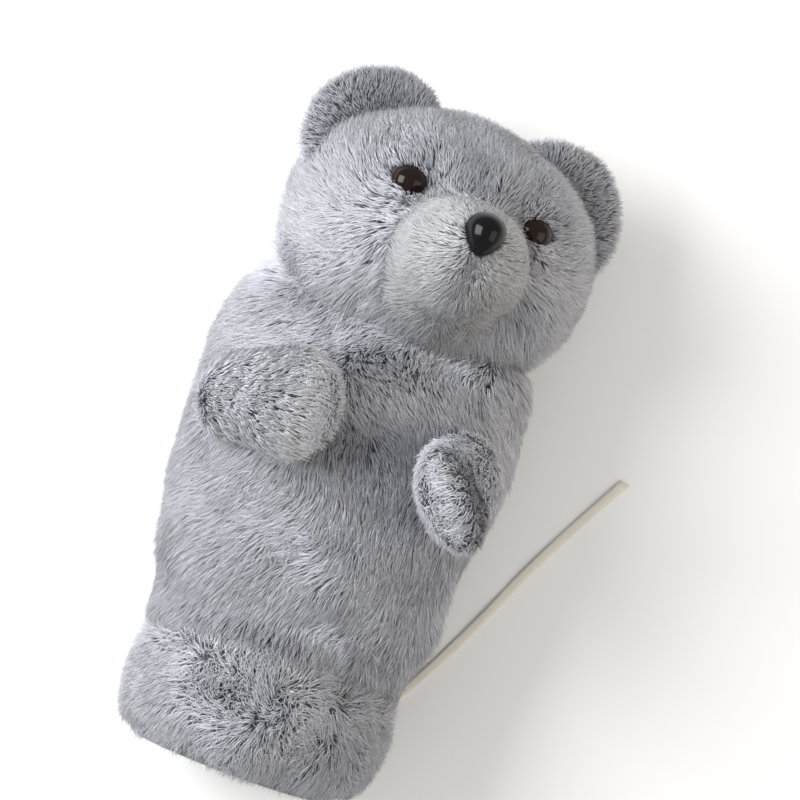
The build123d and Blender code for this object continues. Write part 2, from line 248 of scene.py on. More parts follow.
class Finish:
    """A material with one Principled shader, whose settings are given by name."""

    def __init__(self, name, **settings):
        self.material = bpy.data.materials.new(name)
        self.material.use_nodes = True
        self.tree = self.material.node_tree
        self.shader = self.tree.nodes["Principled BSDF"]
        for key, value in settings.items():
            socket = key.replace("_", " ").title().replace("Ior", "IOR")
            self.shader.inputs[socket].default_value = value

    def feed(self, socket, value):
        """Links a value to a socket, or sets the number or colour there."""
        if isinstance(value, Value):
            self.tree.links.new(value.socket, socket)
        elif isinstance(value, tuple) and len(value) == 3 and socket.type == "RGBA":
            socket.default_value = (*value, 1)
        else:
            socket.default_value = value

    def node(self, kind, inputs=(), **settings):
        """Any node: its settings are set first, then the values or links of its sockets."""
        node = self.tree.nodes.new(kind)
        for key, value in settings.items():
            setattr(node, key, value)
        for key, value in dict(inputs).items():
            self.feed(node.inputs[key], value)
        return Node(self, node)

    def mix(self, factor, a, b):
        """Colour a where the factor is nought, colour b where it is one."""
        node = self.node("ShaderNodeMix", {0: factor, 6: a, 7: b}, data_type="RGBA")
        return Value(self, node.node.outputs[2])

    def place(self):
        """Where a point of the piece lies, in metres."""
        return self.node("ShaderNodeTexCoord").out("Object")

    def along(self):
        """The two numbers of the piece's own map."""
        split = self.node("ShaderNodeSeparateXYZ", {0: self.node("ShaderNodeTexCoord").out("UV")})
        return split.out("X"), split.out("Y")

    def cloud(self, scale, detail=2.0, rough=0.5):
        """Soft noise over the piece, between nought and one."""
        inputs = {"Vector": self.place(), "Scale": scale, "Detail": detail, "Roughness": rough}
        return self.node("ShaderNodeTexNoise", inputs).out("Fac")

    def set(self, socket, value):
        """Links or sets one of the shader's own sockets."""
        self.feed(self.shader.inputs[socket], value)

    def raise_by(self, height, distance, strength=1.0):
        """Bump from a height between nought and one, this many metres deep."""
        node = self.node("ShaderNodeBump", {"Height": height, "Distance": distance, "Strength": strength})
        self.set("Normal", node.out("Normal"))


# For each pile: the root and tip of its darkest lock, then those of its palest. Roots are darker than tips
# as painted shade deep in the pile.
LONG_TONES = ((0.14, 0.14, 0.165), (0.38, 0.385, 0.43), (0.42, 0.425, 0.47), (0.90, 0.91, 0.95))
# The ears' short front pile is darker partly in its own colour and partly as painted shade in their hollows.
SHORT_TONES = ((0.10, 0.10, 0.12), (0.27, 0.275, 0.31), (0.30, 0.305, 0.34), (0.68, 0.69, 0.74))
PALE_TONES = ((0.20, 0.20, 0.215), (0.46, 0.46, 0.48), (0.55, 0.55, 0.565), (0.95, 0.95, 0.945))


def fur(name, root, tip, pale_root, pale_tip):
    """Pile whose map runs across in shade, dark to pale, and up from root to tip, with the roots painted
    darker as shade deep in the pile.
    """
    finish = Finish(name, roughness=0.62, specular_ior_level=0.25, sheen_weight=0.25, sheen_roughness=0.5)
    shade, height = finish.along()
    low = finish.mix(shade, root, pale_root)
    high = finish.mix(shade, tip, pale_tip)
    # painted shade: darker towards the roots of each lock
    finish.set("Base Color", finish.mix(height ** 0.75, low, high))
    return finish.material


def plush_ground():
    """The knitted ground of the plush, seen only between the hairs."""
    finish = Finish("plush_ground", roughness=0.95)
    finish.set("Base Color", finish.mix(finish.cloud(260, 3, 0.7), (0.13, 0.13, 0.15), (0.27, 0.27, 0.30)))
    finish.raise_by(finish.cloud(900), 0.0006)
    return finish.material


def eye_plastic():
    """Glossy plastic, so dark a brown that it only shows where light falls through it."""
    finish = Finish("brown_eye_plastic", roughness=0.14, ior=1.22, coat_weight=0.2, coat_roughness=0.03)
    finish.set("Base Color", finish.mix(finish.cloud(160, 2), (0.004, 0.002, 0.002), (0.018, 0.007, 0.005)))
    return finish.material


def nose_plastic():
    """Glossy black plastic with the faint orange peel of its mould."""
    finish = Finish("black_nose_plastic", roughness=0.16, ior=1.22, coat_weight=0.18, coat_roughness=0.03)
    finish.set("Base Color", finish.mix(finish.cloud(120), (0.0015, 0.0015, 0.002), (0.004, 0.004, 0.005)))
    finish.raise_by(finish.cloud(450, 3), 0.00003)
    return finish.material


def knitted_lining():
    """Warp knit: a rib of threads around the opening times the courses that cross it."""
    finish = Finish("lining_cloth", roughness=0.85, sheen_weight=0.2, sheen_roughness=0.4)
    across, up = finish.along()
    place = finish.node("ShaderNodeCombineXYZ", {0: across * 260.0, 1: up * 60.0}).out(0)
    waves = {"Vector": place, "Scale": 1.0, "Distortion": 0.6, "Detail": 1.0}
    threads = finish.node("ShaderNodeTexWave", waves, bands_direction="X").out("Fac")
    courses = finish.node("ShaderNodeTexWave", waves, bands_direction="Y").out("Fac")
    knit = threads * courses
    finish.set("Base Color", finish.mix(knit, (0.30, 0.30, 0.32), (0.56, 0.56, 0.58)))
    finish.raise_by(knit, 0.0004)
    return finish.material


def ribbon_satin():
    """Cream satin: fine streaks of weft across the strip, drawn out along it."""
    finish = Finish("satin_ribbon", roughness=0.32, anisotropic=0.6, sheen_weight=0.3)
    across, up = finish.along()
    place = finish.node("ShaderNodeCombineXYZ", {0: across * 60.0, 1: up * 3.0}).out(0)
    weft = finish.node("ShaderNodeTexNoise", {"Vector": place, "Scale": 1.0, "Detail": 2.0}).out("Fac")
    finish.set("Base Color", finish.mix(weft, (0.62, 0.57, 0.47), (0.90, 0.87, 0.80)))
    finish.raise_by(weft, 0.0002)
    return finish.material


def stuffing_fibre():
    """White polyester fibre, lumpy and matt."""
    finish = Finish("polyester_fibre", roughness=0.9)
    lumps = finish.cloud(300, 4, 0.8)
    finish.set("Base Color", finish.mix(lumps, (0.62, 0.62, 0.62), (0.85, 0.85, 0.85)))
    finish.raise_by(lumps, 0.001)
    return finish.material


def washer_plastic():
    """Natural moulded plastic."""
    finish = Finish("washer_plastic", roughness=0.45)
    finish.set("Base Color", finish.mix(finish.cloud(200), (0.70, 0.70, 0.68), (0.78, 0.78, 0.76)))
    return finish.material


def elastic_braid():
    """White braided elastic."""
    finish = Finish("elastic", roughness=0.8)
    finish.set("Base Color", finish.mix(finish.cloud(700), (0.60, 0.60, 0.58), (0.82, 0.82, 0.80)))
    finish.raise_by(finish.cloud(900), 0.0002)
    return finish.material


def make_finishes():
    """Every finish of the puppet, by the short name that the pieces below ask for."""
    return {
        "long_fur": fur("long_fur", *LONG_TONES),
        "short_fur": fur("short_fur", *SHORT_TONES),
        "pale_fur": fur("pale_fur", *PALE_TONES),
        "ground": plush_ground(),
        "eye": eye_plastic(),
        "nose": nose_plastic(),
        "lining": knitted_lining(),
        "satin": ribbon_satin(),
        "fibre": stuffing_fibre(),
        "washer": washer_plastic(),
        "elastic": elastic_braid(),
    }


# ---------------------------------------------------------------- meshes

def make_piece(name, points, faces, finish, body=None, uv=None, uv_name="map"):
    """A mesh object from arrays: points in millimetres, faces of three or four corners each, and a map
    with one place for each corner of each face."""
    faces = np.asarray(faces)
    corners = faces.shape[1]
    mesh = bpy.data.meshes.new(name)
    mesh.vertices.add(len(points))
    mesh.vertices.foreach_set("co", (np.asarray(points) * MM).astype(np.float32).ravel())
    mesh.loops.add(faces.size)
    mesh.loops.foreach_set("vertex_index", faces.ravel().astype(np.int32))
    mesh.polygons.add(len(faces))
    mesh.polygons.foreach_set("loop_start", np.arange(0, faces.size, corners, dtype=np.int32))
    if uv is not None:
        mesh.uv_layers.new(name=uv_name).data.foreach_set("uv", np.asarray(uv, np.float32).ravel())
    mesh.update(calc_edges=True)
    mesh.shade_smooth()
    mesh.materials.append(finish)
    piece = bpy.data.objects.new(name, mesh)
    bpy.context.collection.objects.link(piece)
    if body:
        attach(piece, body)
    return piece


def grid_faces(rows, around):
    """Four-cornered faces between rows of points that close on themselves: each joins a point, the next
    one around, and the same two of the next row."""
    i, j = np.meshgrid(np.arange(rows - 1), np.arange(around), indexing="ij")
    here, beside = i * around + j, i * around + (j + 1) % around
    return np.stack([here, beside, beside + around, here + around], -1).reshape(-1, 4)


def closed_skin(name, grid, finish, body):
    """A skin from rows of points, from one pole to the other, closed at each with a fan of thin faces
    whose far corners meet at the pole."""
    rows, around = grid.shape[:2]
    sides = grid_faces(rows, around)
    ring = np.arange(around)
    step = (ring + 1) % around
    last_row = (rows - 1) * around
    pole = rows * around
    caps = np.concatenate([
        np.stack([step, ring, np.full(around, pole)], -1),
        np.stack([last_row + ring, last_row + step, np.full(around, pole + 1)], -1),
    ])
    points = np.concatenate([grid.reshape(-1, 3), np.stack([grid[0].mean(0), grid[-1].mean(0)])])
    triangles = np.concatenate([sides[:, [0, 1, 2]], sides[:, [0, 2, 3]], caps])
    return make_piece(name, points, triangles, finish, body)


def slopes(grid):
    """Outward normals of a grid that closes around: the cross product of its two directions."""
    along = np.gradient(grid, axis=0)
    around = np.roll(grid, -1, axis=1) - np.roll(grid, 1, axis=1)
    return unit(np.cross(around, along))


def spread_roots(grid, per_mm2, rng, bare=None):
    """Places spread over a grid by area, with their normals: an even walk through the summed areas,
    then a random place in each face. bare(places) is the share left out there."""
    nxt = np.roll(grid, -1, axis=1)
    a, b, c, d = grid[:-1], nxt[:-1], nxt[1:], grid[1:]
    area = np.linalg.norm(np.cross(c - a, d - b), axis=-1) / 2
    if bare is not None:
        area = area * (1 - bare((a + b + c + d) / 4))
    total = np.cumsum(area.ravel())
    count = int(total[-1] * per_mm2)
    at = (np.arange(count) + rng.random(count)) / count * total[-1]
    face = np.minimum(np.searchsorted(total, at), total.size - 1)
    i, j = np.divmod(face, grid.shape[1])
    k = (j + 1) % grid.shape[1]
    s, t = rng.random((2, count, 1))

    def between(field):
        """The field at each place, mixed from the four corners of its face."""
        low = field[i, j] * (1 - s) + field[i, k] * s
        high = field[i + 1, j] * (1 - s) + field[i + 1, k] * s
        return low * (1 - t) + high * t

    return between(grid), unit(between(slopes(grid)))


# ---------------------------------------------------------------- pile

# How uneven the pile is.
SWIRLS = ((0.55, 34, 0), (0.50, 9, 0.5))  # how strongly the nap turns, over what size, and the noise's shift
STRAY = 0.27  # how far each lock strays from the nap
LIFT_CLOUD, LIFT_STRAY = 0.22, 0.10
LIFT_LEAST, LIFT_MOST = 0.12, 1.4
LENGTH_LEAST, LENGTH_MOST, LENGTH_CLOUD = 0.72, 1.16, 0.12
TO_MIDDLE, TO_TIP = 0.42, 0.60  # the two straight stretches of a lock, in its lengths
TONE_CLOUD, TONE_STRAY = 0.16, 0.15
TONE_LEAST, TONE_MOST = 0.03, 0.97
ROOT_DEPTH = 0.8  # how deep a lock starts below the skin
CELL_KEY = np.array([1, 4001, 4001 * 4001])  # makes one number of a tuft's three

# A lock's points are its root, three around its middle, and its tip.
LOCK_FACES = np.array([[0, 2, 1], [0, 3, 2], [0, 1, 3], [4, 1, 2], [4, 2, 3], [4, 3, 1]])
LOCK_HEIGHTS = np.array([0.02, 0.42, 0.45, 0.42, 0.98])
LOCK_SHADES = np.array([0, -1, 0, 1, 0]) / 64  # keeps each face of the lock open in its map


def bend_locks(root, normal, coat, seed, rng):
    """The middle and the tip of the lock at each root, with its width and shade. The middle stands off the
    skin and the tip follows the nap, which swirls slowly and strays a little at each lock."""
    lay, length, lift, width, tone_and_painted_light = coat(root, normal)
    n = len(root)
    for strength, size, shift in SWIRLS:
        lay = lay + strength * noise(root, size, seed + shift)
    lay = lay + STRAY * rng.normal(size=(n, 3))
    lay = unit(lay - normal * np.sum(lay * normal, -1, keepdims=True))
    lift = lift + LIFT_CLOUD * noise(root, 15, seed + 3)[:, 0] + LIFT_STRAY * rng.normal(size=n)
    lift = np.clip(lift, LIFT_LEAST, LIFT_MOST)[:, None]
    spread = rng.uniform(LENGTH_LEAST, LENGTH_MOST, n)
    length = (length * spread * (1 + LENGTH_CLOUD * noise(root, 22, seed + 5)[:, 1]))[:, None]
    middle = root + TO_MIDDLE * length * unit(normal * (lift + 0.35) + lay * 0.75)
    tip = middle + TO_TIP * length * unit(normal * (lift - 0.12) + lay)
    return middle, tip, width, tone_and_painted_light


def gather_tufts(root, middle, tip, tuft, gather, seed):
    """Pulls middles and tips towards the mean of their tuft, which is the locks whose roots share a cell of
    a wavy grid, and keeps both above the table."""
    cell = np.floor((root + 2.5 * noise(root, 7, seed)) / tuft).astype(np.int64)
    _, which = np.unique((cell * CELL_KEY).sum(-1), return_inverse=True)
    sizes = np.bincount(which)[:, None]
    for end, pull, gap in ((middle, gather * 0.4, 0.5), (tip, gather, 0.4)):
        mean = np.stack([np.bincount(which, end[:, k]) for k in range(3)], -1) / sizes
        end += pull * (mean[which] - end)
        end[:, 2] = np.maximum(end[:, 2], TABLE + gap)


def lock_points(root, normal, middle, tip, width, rng):
    """The five points of each lock: its root under the skin, a flattened ring of three, and its tip."""
    n = len(root)
    axis = unit(tip - root)
    side = unit(np.cross(axis, normal + 0.3 * rng.normal(size=(n, 3))))
    other = np.cross(axis, side)
    thick = (width * rng.uniform(0.7, 1.3, n))[:, None] / 2
    turns = np.array([0, 2, 4]) * math.pi / 3
    ring = middle[:, None] + thick[:, None] * (
        side[:, None] * np.cos(turns)[None, :, None] + other[:, None] * np.sin(turns)[None, :, None] * 0.75
    )
    return np.concatenate([(root - ROOT_DEPTH * normal)[:, None], ring, tip[:, None]], 1)


def grow(name, body, grid, coat, slot, per_mm2, seed, bare=None, tuft=5.5, gather=0.32, count=1):
    """Pile of one finish on a skin, in this many pieces: a bent lock at each root, with five points and six
    faces. The coat says how the pile lies, its length, lift, width and shade at each root."""
    rng = np.random.default_rng(seed)
    root, normal = spread_roots(grid, per_mm2, rng, bare)
    n = len(root)
    middle, tip, width, tone_and_painted_light = bend_locks(root, normal, coat, seed, rng)
    gather_tufts(root, middle, tip, tuft, gather, seed)
    points = lock_points(root, normal, middle, tip, width, rng)
    tone_and_painted_light = tone_and_painted_light + TONE_CLOUD * noise(root, 12, seed + 7)[:, 2] + TONE_STRAY * rng.normal(size=n)
    uv = np.empty((n, 5, 2))
    uv[:, :, 0] = np.clip(tone_and_painted_light, TONE_LEAST, TONE_MOST)[:, None] + LOCK_SHADES
    uv[:, :, 1] = LOCK_HEIGHTS

    pieces = []
    for number, share in enumerate(np.array_split(np.arange(n), count), 1):
        faces = (np.arange(len(share))[:, None, None] * 5 + LOCK_FACES).reshape(-1, 3)
        corners = uv[share].reshape(-1, 2)[faces.ravel()]
        label = name if count == 1 else f"{name}_{number}"
        part = points[share].reshape(-1, 3)
        pieces.append(make_piece(label, part, faces, FINISH[slot], body, corners, "OFBake"))
    return pieces


# ---------------------------------------------------------------- torso and cuff

# Height above the hem, then half the width, how high the front rises and how deep the back lies.
TORSO_ROWS = (
    (48, 46, 40, 36), (56, 51.5, 43, 40), (68, 55.5, 46, 42), (84, 59, 48, 42.5), (112, 62, 49, 43),
    (148, 65, 49, 43), (168, 65.5, 46, 42), (182, 65, 39, 38), (194, 62.5, 31, 33), (203, 56, 24, 28),
    (209, 46, 17, 22), (211, 30, 10, 14), (211.5, 12, 4, 5),
)
CUFF_BORE = 41.7  # the radius of the cuff's inner wall
# The cuff's roll: how far round it, the radius, then the height above the hem.
CUFF_SECTION = (
    (0, CUFF_BORE, 52), (0.16, CUFF_BORE, 32), (0.30, CUFF_BORE, 13), (0.36, 42.6, 7.5), (0.43, 45, 5.2),
    (0.50, 49, 6.6), (0.60, 53, 13), (0.72, 55.5, 26), (0.84, 54, 40), (0.92, 51, 50), (0.97, 47, 53.5),
    (1, 42.4, 53),
)
# How far each skin stays above the table, to leave room for the pressed pile.
TORSO_OVER, CUFF_OVER, HEAD_OVER = 1.5, 1.0, 3.0
PRESSED = 0.7  # the share of the pile that is left out underneath, where it is pressed flat


def body_section(turn, half_width, front, back):
    """An oval across the body: round in front, and pressed flatter where it lies. Powers below one square
    the oval's sides and its back."""
    side, rise = np.cos(turn), np.sin(turn)
    flat = np.sign(rise) * np.abs(rise) ** np.where(rise < 0, 0.72, 1.0)
    return half_width * np.sign(side) * np.abs(side) ** 0.92, flat * np.where(rise < 0, back, front)


def full_turn(around):
    """Angles once around a piece, as one row."""
    return np.linspace(0, 2 * math.pi, around, endpoint=False)[None]


def torso_grid(rows=110, around=168):
    """The torso's skin: body sections along the height, with shallow waves where the cloth gives."""
    last = len(TORSO_ROWS) - 1
    height = curve(np.linspace(0, 1, rows), [(k / last, row[0]) for k, row in enumerate(TORSO_ROWS)])
    sizes = curve(height[:, 0], TORSO_ROWS)
    x, z = body_section(-full_turn(around), *(sizes[:, k, None] for k in range(3)))
    grid = np.stack([x - 2.0 * ease(70, 120, height), np.broadcast_to(height, x.shape), z], -1)
    wave = noise(grid, 42, 4.2)[..., 0] * 2.4 + noise(grid, 19, 1.7)[..., 1] * 1.1
    wave = wave - 3.0 * bump(grid[..., 1], 72, 9) * bump(grid[..., 0], 12, 26)
    wave = wave * ease(50, 64, grid[..., 1]) * ease(211, 198, grid[..., 1])
    grid = grid + slopes(grid) * wave[..., None]
    grid[..., 2] = np.maximum(grid[..., 2], TABLE + TORSO_OVER)
    return grid


def cuff_grid(rows=72, around=168):
    """The turned-up cuff: a closed roll about the arm opening. One number goes around the opening, the
    other around the roll, from its inner wall over the hem and the swollen outside to its tucked-in top.
    The roll is thin underneath, and its hem rises at both sides and waves a little."""
    at = curve(np.linspace(0, 1, rows), CUFF_SECTION)
    turn = -full_turn(around)
    out, height = at[:, 0, None], at[:, 1, None]
    swell = out - CUFF_BORE
    share = np.clip(swell / 17, 0, 1)
    side, rise = np.cos(turn), np.sin(turn)
    wide = CUFF_BORE + swell * (0.86 + 0.14 * side)
    deep = CUFF_BORE + swell * np.where(rise < 0, 0.22, 0.60)
    x, z = wide * side, deep * rise
    hang = 3.0 + 2.5 * ease(10, 60, x) + 4.0 * ease(-5, -55, x)
    hang = hang + 3.0 * noise(np.stack([x, 0 * x, z], -1), 19, 3.7)[..., 0]
    y = height + hang * ease(30, 4, height) * ease(42, 46, out)
    grid = np.stack([x, y, z], -1)
    ring = np.stack([x, y * 0.5, z], -1)
    wave = noise(ring, 26, 8.4)[..., 0] * 2.2 + noise(ring, 12, 5.1)[..., 1] * 0.9
    grid = grid + slopes(grid) * (wave * ease(0.15, 0.6, share))[..., None]
    grid[..., 2] = np.maximum(grid[..., 2], TABLE + CUFF_OVER)
    return grid


def torso_coat(root, normal):
    """Nap to the hem, brushed outwards at the sides, and upright in a few partings and in the crease above
    the cuff, where the pile is painted darker as shade. The lit side is painted paler and the far side
    darker. A coat gives the nap's direction, then the locks' length, lift, width and shade."""
    n = len(root)
    x, y, z = root.T
    lay = np.stack([0.35 * x / 60 - 0.28, -np.ones(n), np.zeros(n)], -1)
    lay[:, 0] += 0.9 * bump(y, 165, 26) * ease(-30, 40, x)
    part = (
        bump(x, 1, 24) * bump(y, 183, 10) + 0.9 * bump(x, -2, 20) * bump(y, 150, 10)
        + 1.2 * bump(x, -8, 34) * bump(y, 62, 8) + 0.7 * bump(x, 34, 20) * bump(y, 128, 12)
    ) * ease(0, 30, z)
    lift = 0.40 + 0.6 * part
    length = 12.5 - 2.5 * part - 3.0 * ease(-30, -44, z)
    # painted shade in the partings and the crease, painted light on the lit side (-x) and painted shade on
    # the far side (+x)
    tone_and_painted_light = 0.55 - 0.16 * part + 0.05 * ease(10, -60, x) - 0.05 * ease(10, 60, x)
    tone_and_painted_light = tone_and_painted_light - 0.10 * bump(y, 102, 22) * bump(x, 0, 45) + 0.10 * bump(y, 166, 16) * bump(x, 4, 34)
    return lay, length, lift, np.full(n, 0.54), tone_and_painted_light


def cuff_coat(root, normal):
    """Nap that fluffs outwards from the band, to the hem below and over the top above, painted paler on the
    lit side and darker as shade in a parting and on the far side.
    """
    n = len(root)
    x, y, z = root.T
    down = -0.35 - 0.9 * ease(30, 5, y) + 0.9 * ease(38, 52, y)
    lay = np.stack([0.3 * normal[:, 0], down, np.zeros(n)], -1)
    part = bump(x, -10, 22) * bump(y, 30, 8) * ease(0, 30, z)
    lift = 0.55 + 0.4 * part
    length = 10.5 - 2 * part - 3.0 * ease(-30, -44, z) - 1.5 * ease(14, 3, y)
    # painted shade in the parting, painted light on the lit side (-x) and strong painted shade on the far
    # side (+x)
    tone_and_painted_light = 0.58 - 0.14 * part + 0.07 * ease(10, -50, x) - 0.26 * ease(5, 58, x)
    return lay, length, lift, np.full(n, 0.54), tone_and_painted_light


def back_bare(places):
    """Less pile underneath, where it is pressed flat."""
    return PRESSED * ease(-32, -43, places[..., 2])


def cuff_bare(places):
    """No pile inside the opening, and less of it underneath."""
    inside = np.hypot(places[..., 0], places[..., 2]) < 44.5
    return np.where(inside & (places[..., 1] > 8), 1.0, back_bare(places))


# ---------------------------------------------------------------- head

def head_grid(rows=96, around=150):
    """The head's skin about its own front axis: an egg, wider and lower at the cheeks, with hollows for the
    eyes under a low brow, and pressed flat behind. Rows run from the face to the back."""
    lean = np.linspace(0.02, math.pi - 0.03, rows)[:, None]
    turn = -full_turn(around)
    across, up, front = np.sin(lean) * np.cos(turn), np.sin(lean) * np.sin(turn), np.cos(lean) + 0 * turn
    x = 63.5 * across * (1 + 0.05 * ease(0.3, -0.6, up))
    y = up * np.where(up > 0, 49.5, 56.0)
    z = front * np.where(front > 0, 47.0, 45.0)
    grid = np.stack([x, y, z], -1)
    out = slopes(grid)
    face = ease(5, 30, z)
    swell = 4.5 * bump(np.abs(x), 40, 18) * bump(y, -20, 18) * face
    swell += 2.2 * bump(y, 24, 9) * bump(x, 0, 46) * face
    swell -= 1.2 * bump(np.abs(x), EYE_AT[0], 9) * bump(y, EYE_AT[1], 6) * face
    for lid, rise in ((7.8, 5.2), (-8.2, 4.4)):
        swell += rise * bump(np.abs(x), EYE_AT[0], 9) * bump(y, EYE_AT[1] + lid, 4.2) * face
    swell += noise(grid, 30, 2.6)[..., 0] * 1.4
    grid = from_head(grid + out * swell[..., None])
    grid[..., 2] = np.maximum(grid[..., 2], TABLE + HEAD_OVER)
    return grid


# How far from the muzzle's front to its root, half the width, half the height, then how far forward.
MUZZLE_ROWS = (
    (0, 0.6, 0.5, 80.6), (0.07, 7, 6, 80.2), (0.18, 14, 12.5, 78), (0.33, 20, 18, 71.5),
    (0.50, 23.5, 21.5, 61.5), (0.68, 25, 23.5, 50), (0.85, 28, 27, 40), (1, 33, 31, 31),
)


def muzzle_grid(rows=56, around=120):
    """The muzzle's skin, rows from its front to its root: ovals that grow and fall back, with a groove
    from the nose down to the lip."""
    size = curve(np.linspace(0, 1, rows), MUZZLE_ROWS)
    turn = -full_turn(around)
    half_x, half_y, z = size[:, 0, None], size[:, 1, None], size[:, 2, None] + 0 * turn
    x = half_x * np.cos(turn)
    y = half_y * np.sin(turn)
    z = z - 2.2 * bump(x, 0, 3.2) * ease(2, -6, y) * ease(-24, -14, y) * ease(60, 74, z)
    z = z - 2.0 * bump(y, -15 - 0.02 * x * x, 3.0) * bump(x, 0, 13) * ease(60, 72, z)
    grid = np.stack([x, y + MUZZLE_Y, z], -1)
    grid = grid + slopes(grid) * (noise(grid, 17, 6.3)[..., 0] * 0.9)[..., None]
    return from_head(grid)


def away_from(points, middle, reach):
    """Directions that lead away from a place, fading out at a reach."""
    off = points - middle
    return unit(off) * ease(reach, reach * 0.45, np.linalg.norm(off, axis=-1))[:, None]


def eye_middles():
    """The middles of the puppet's left and right eye."""
    return [from_head(EYE_AT * np.array([sign, 1, 1])) for sign in (1, -1)]


def head_coat(root, normal):
    """Nap that runs back from the muzzle over the brow and cheeks, down at the jowls, and parts round the
    eyes. Painted shade darkens the upright brow, the crease round the muzzle, the eyes' hollows and the far
    side; painted light brightens the lit side and its cheek."""
    local = to_head(root)
    x, y, z = local.T
    n = len(root)
    lay = np.stack([x / 40, (y - MUZZLE_Y) / 40, -0.4 * np.ones(n)], -1)
    lay[:, 1] -= 0.9 * ease(10, -30, y)
    lay[:, 1] -= 0.5 * ease(0, -40, z)
    lay[:, 1] += 0.35 * ease(0, 20, y)
    lay = unit(lay) @ HEAD_AXES
    lift = np.full(n, 0.42)
    for eye in eye_middles():
        lay = lay + 0.45 * away_from(root, eye, 18)
    brow = bump(x, 0, 26) * bump(y, 22, 10) * ease(10, 30, z)
    crease = bump(np.hypot(x / 30, (y - MUZZLE_Y) / 28), 1.0, 0.16) * ease(10, 30, z)
    length = 11.5 + 6.5 * ease(-12, -42, y) - 2.0 * crease - 2.5 * brow - 3.0 * ease(-30, -44, root[:, 2])
    near = sum(ease(22, 9, np.linalg.norm(root - eye, axis=-1)) for eye in eye_middles())
    length = length - 6.5 * np.clip(near, 0, 1)
    lift = lift + 0.35 * brow + 0.2 * crease
    # painted shade on the brow, in the crease round the muzzle except on its lit side, on the far side (+x)
    # and round the eye hollows; painted light on the lit side (-x) and the lit cheek
    tone_and_painted_light = 0.57 - 0.16 * brow - 0.12 * crease * ease(-22, 10, x)
    tone_and_painted_light = tone_and_painted_light + 0.06 * ease(0, -60, x) - 0.10 * ease(10, 60, x)
    tone_and_painted_light = tone_and_painted_light + 0.16 * bump(x, -30, 14) * bump(y, MUZZLE_Y - 6, 20) * ease(0, 20, z)
    tone_and_painted_light = tone_and_painted_light - 0.12 * np.clip(near, 0, 1)
    return lay, length, lift, np.full(n, 0.52), tone_and_painted_light


def head_bare(places):
    """No pile under the muzzle or the eyes, and less of it behind."""
    local = to_head(places)
    share = PRESSED * ease(-30, -42, places[..., 2])
    front = local[..., 2] > 0
    muzzle = np.hypot(local[..., 0] / 25, (local[..., 1] - MUZZLE_Y) / 23)
    share = np.where((muzzle < 1) & front, 1.0, share)
    for sign in (1, -1):
        off = local - EYE_AT * np.array([sign, 1, 1])
        socket = np.hypot(off[..., 0] / 7.2, off[..., 1] / 4.3)
        share = np.where((socket < 1) & front, 1.0, share)
    return share


def nose_middle():
    """The middle of the nose, in the puppet's frame."""
    return from_head(NOSE_AT)


def muzzle_coat(root, normal):
    """Short pale nap that fans out from below the nose, shortest beside it, painted darker as shade in the
    groove below the nose, underneath, on the far side and at its root outside the lit side.
    """
    local = to_head(root)
    x, y, z = local.T
    n = len(root)
    from_nose = np.linalg.norm(root - nose_middle(), axis=-1)
    lay = np.stack([x / 16, (y - MUZZLE_Y + 6) / 16, -0.5 * np.ones(n)], -1)
    lay = unit(lay) @ HEAD_AXES + 1.2 * away_from(root, nose_middle(), 24)
    groove = bump(x, 0, 3.0) * bump(y, -16, 9) * ease(66, 76, z)
    skirt = ease(56, 38, z)
    length = 4.2 + 5.2 * ease(9, 36, from_nose) - 1.6 * groove + 2.5 * skirt
    lift = 0.40 + 0.5 * groove + 0.15 * skirt
    # painted shade: the groove, the muzzle's underside, its far side (+x) and its root except on the lit
    # side
    low = ease(-10, -34, y)
    tone_and_painted_light = 0.40 - 0.26 * groove - 0.16 * low - 0.10 * ease(0, 26, x) - 0.10 * skirt * ease(-10, 20, x)
    return lay, length, lift, np.full(n, 0.42), tone_and_painted_light


def muzzle_bare(places):
    """No pile under the nose, nor where the muzzle's root is inside the head."""
    local = to_head(places)
    hidden = ease(36, 33, local[..., 2])
    return np.where(np.linalg.norm(places - nose_middle(), axis=-1) < 7.5, 1.0, hidden)


EAR_LEAN = math.radians(57)  # from straight up, to each side
EAR_OUT = 51.0  # from the head's middle to the ear's


def ear_way(sign):
    """The way from the head's middle to an ear, in the head's own frame."""
    return np.array([sign * math.sin(EAR_LEAN), math.cos(EAR_LEAN), 0.0])


def ear_grid(sign, rows=48, around=72):
    """An ear about its own thickness, rows from the middle of the front to the middle of the back: a
    round pad with a hollow front, tipped forwards at its rim."""
    out = ear_way(sign)
    side = np.array([-out[1], out[0], 0.0])
    lean = np.linspace(0.03, math.pi - 0.03, rows)[:, None]
    turn = full_turn(around)
    across = np.sin(lean) ** 0.75 * np.cos(turn)
    up = np.sin(lean) ** 0.75 * np.sin(turn)
    reach = np.hypot(across, up)
    hollow = np.where(np.cos(lean) > 0, -5.5, -2.5) * (1 - reach**2)
    thick = np.cos(lean) * 7.0 + 0 * turn + hollow + 2.5 * reach**2 * ease(-0.4, 1, up)
    front = np.array([0, 0, 1.0])
    grid = up[..., None] * 28 * out + across[..., None] * 29 * side + thick[..., None] * front
    grid = grid + noise(grid + 60 * sign, 16, 3.3) * 0.9
    return from_head(grid + out * EAR_OUT + np.array([0, 0, 1.5]))


